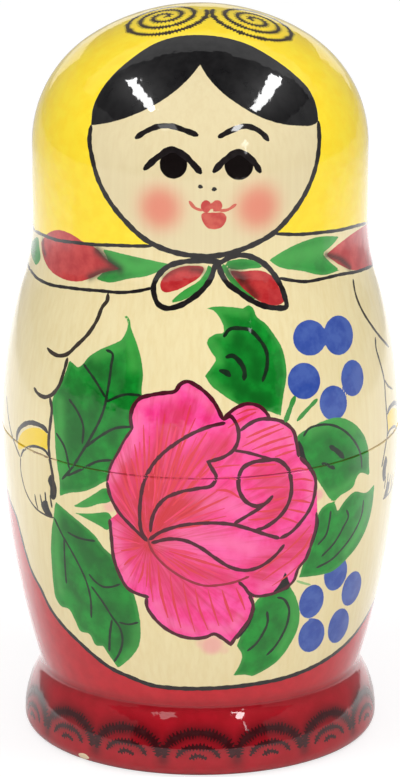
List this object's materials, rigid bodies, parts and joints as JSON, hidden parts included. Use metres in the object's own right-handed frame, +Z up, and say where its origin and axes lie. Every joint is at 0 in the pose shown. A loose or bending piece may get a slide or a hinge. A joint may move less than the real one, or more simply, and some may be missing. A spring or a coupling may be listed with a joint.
{
  "type": "nesting doll",
  "caption": "Painted, lacquered wooden nesting doll: hollow dolls of turned wood stand one inside the next, each a top half that lifts off a tenoned bottom half, round a solid smallest doll.",
  "frame": {"origin": "centre of the outer doll's flat base, on the surface that it stands on", "axes": "+Z up along the axis that every piece is turned about; the painted face looks along -Y"},
  "size_m": [0.0694, 0.0694, 0.13],
  "materials": {
    "painted_bottom": "paint under clear lacquer",
    "painted_top": "paint under clear lacquer",
    "painted_solid": "paint under clear lacquer"
  },
  "bodies": {
    "doll_1_bottom": {"doll_1_bottom": "painted_bottom"},
    "doll_2_bottom": {"doll_2_bottom": "painted_bottom"},
    "doll_3_bottom": {"doll_3_bottom": "painted_bottom"},
    "doll_4_bottom": {"doll_4_bottom": "painted_bottom"},
    "doll_5_solid": {"doll_5_solid": "painted_solid"},
    "doll_4_top": {"doll_4_top": "painted_top"},
    "doll_3_top": {"doll_3_top": "painted_top"},
    "doll_2_top": {"doll_2_top": "painted_top"},
    "doll_1_top": {"doll_1_top": "painted_top"}
  },
  "joints": [
    {"name": "lift_doll_2_out", "type": "slide", "parent": "doll_1_bottom", "child": "doll_2_bottom", "axis": [0, 0, 1], "range_m": [0, 0.06]},
    {"name": "lift_doll_3_out", "type": "slide", "parent": "doll_2_bottom", "child": "doll_3_bottom", "axis": [0, 0, 1], "range_m": [0, 0.048]},
    {"name": "lift_doll_4_out", "type": "slide", "parent": "doll_3_bottom", "child": "doll_4_bottom", "axis": [0, 0, 1], "range_m": [0, 0.036]},
    {"name": "lift_doll_5_out", "type": "slide", "parent": "doll_4_bottom", "child": "doll_5_solid", "axis": [0, 0, 1], "range_m": [0, 0.024]},
    {"name": "open_doll_4", "type": "slide", "parent": "doll_5_solid", "child": "doll_4_top", "axis": [0, 0, 1], "range_m": [0, 0.03]},
    {"name": "open_doll_3", "type": "slide", "parent": "doll_4_top", "child": "doll_3_top", "axis": [0, 0, 1], "range_m": [0, 0.044]},
    {"name": "open_doll_2", "type": "slide", "parent": "doll_3_top", "child": "doll_2_top", "axis": [0, 0, 1], "range_m": [0, 0.058]},
    {"name": "open_doll_1", "type": "slide", "parent": "doll_2_top", "child": "doll_1_top", "axis": [0, 0, 1], "range_m": [0, 0.072]}
  ]
}
